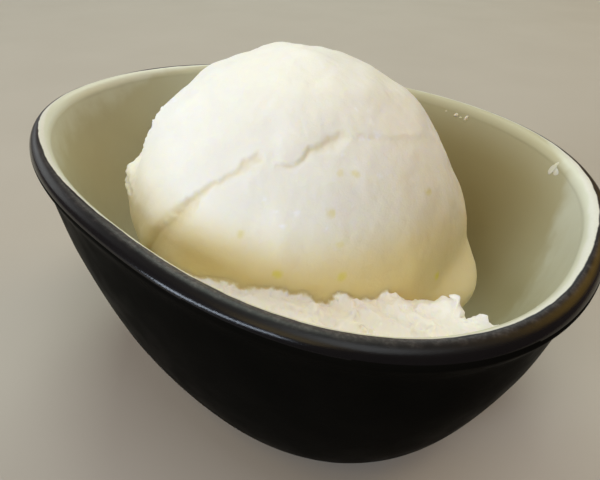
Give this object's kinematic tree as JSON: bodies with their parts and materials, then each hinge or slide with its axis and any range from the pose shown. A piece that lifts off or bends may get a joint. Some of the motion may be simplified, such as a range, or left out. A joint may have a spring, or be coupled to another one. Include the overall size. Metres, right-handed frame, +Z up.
{
  "type": "sorbet cup",
  "caption": "Scoop of pale citrus sorbet with a crumbly front edge, resting in a small egg-shaped stoneware bowl with a rounded lip.",
  "frame": {"origin": "on the table, under the middle of the object's box", "axes": "+X along the bowl's long axis towards its wide end, +Y across it towards the side away from the crumbly edge, +Z up"},
  "size_m": [0.11, 0.0868, 0.0663],
  "materials": {
    "stoneware_glaze": "satin black outside and over the lip, glossy sage green inside, with a pale line where the two glazes meet",
    "sorbet": "frozen and slightly translucent ivory white, smooth where the scoop pressed it and crumbly where it broke"
  },
  "bodies": {
    "root": {"bowl": "stoneware_glaze", "sorbet_scoop": "sorbet"}
  },
  "joints": []
}
